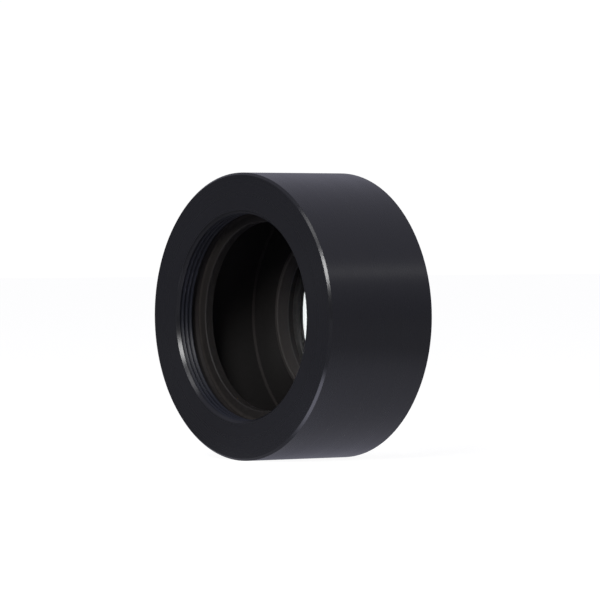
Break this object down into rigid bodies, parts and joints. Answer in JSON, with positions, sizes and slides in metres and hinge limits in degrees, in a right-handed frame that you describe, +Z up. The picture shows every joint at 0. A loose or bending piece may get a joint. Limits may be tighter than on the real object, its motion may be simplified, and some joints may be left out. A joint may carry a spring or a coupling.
{
  "type": "barlow lens",
  "caption": "Short black Barlow lens barrel with a 42 mm female thread in front and a screw-in negative lens cell in its rear spigot.",
  "frame": {"origin": "on the optical axis, in the barrel's rear face, which is the shoulder the male spigot thread seats on", "axes": "+Z up, the optical axis along Y: +Y out of the rear spigot, -Y out of the front female thread"},
  "size_m": [0.057, 0.0314, 0.057],
  "materials": {
    "black_anodised": "satin black anodised, fine turned grain",
    "matte_black": "matte black anodised",
    "black_plastic": "matte",
    "crown_glass": "polished, anti-reflection coated",
    "flint_glass": "polished, anti-reflection coated"
  },
  "bodies": {
    "housing": {"barrel": "black_anodised", "glare_stop": "matte_black", "rear_flange": "black_anodised"},
    "optics": {"negative_element": "crown_glass", "spacer_ring": "matte_black", "positive_element": "flint_glass"},
    "cell": {"lens_cell": "black_anodised", "retaining_ring": "matte_black", "cushion_ring": "black_plastic"}
  },
  "joints": [
    {"name": "cell_travel", "type": "slide", "parent": "housing", "child": "optics", "axis": [0, 1, 0], "range_m": [0, 0.00675]},
    {"name": "cell_turn", "type": "hinge", "parent": "optics", "child": "cell", "pos_m": [0, 0, 0], "axis": [0, 1, 0], "range_deg": [0, 3240]}
  ],
  "couplings": [
    {"joint": "cell_travel", "follows": "cell_turn", "m_per_rad": 0.00011937}
  ]
}
